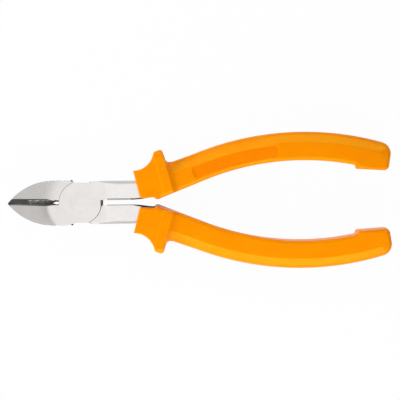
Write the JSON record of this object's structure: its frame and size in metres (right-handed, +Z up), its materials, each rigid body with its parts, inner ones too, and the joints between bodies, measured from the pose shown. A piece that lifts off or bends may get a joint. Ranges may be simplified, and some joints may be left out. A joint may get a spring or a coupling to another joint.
{
  "type": "diagonal cutter",
  "caption": "Diagonal cutting pliers with lapped forged halves on a flush rivet, ground cutting edges and moulded sleeves with finger guards.",
  "frame": {"origin": "below the middle of the closed tool's box, on the surface that it lies on", "axes": "+X along the tool from the jaws to the handle ends, +Y towards the upper handle, +Z up out of the surface, along the pivot axis"},
  "size_m": [0.1798, 0.0638, 0.0144],
  "materials": {
    "nickel_plated_steel": "satin nickel plating over forged steel, cutting bevels ground bare and dark",
    "rivet_steel": "ground flush and plated with the halves",
    "orange_pvc": "moulded soft PVC with a low gloss"
  },
  "bodies": {
    "front_lever": {"front_plier_half": "nickel_plated_steel", "pivot_rivet": "rivet_steel", "upper_grip_sleeve": "orange_pvc"},
    "rear_lever": {"rear_plier_half": "nickel_plated_steel", "lower_grip_sleeve": "orange_pvc"}
  },
  "joints": [
    {"name": "jaw_pivot", "type": "hinge", "parent": "front_lever", "child": "rear_lever", "pos_m": [-0.05584, 0, 0.0072], "axis": [0, 0, -1], "range_deg": [0, 40]}
  ]
}
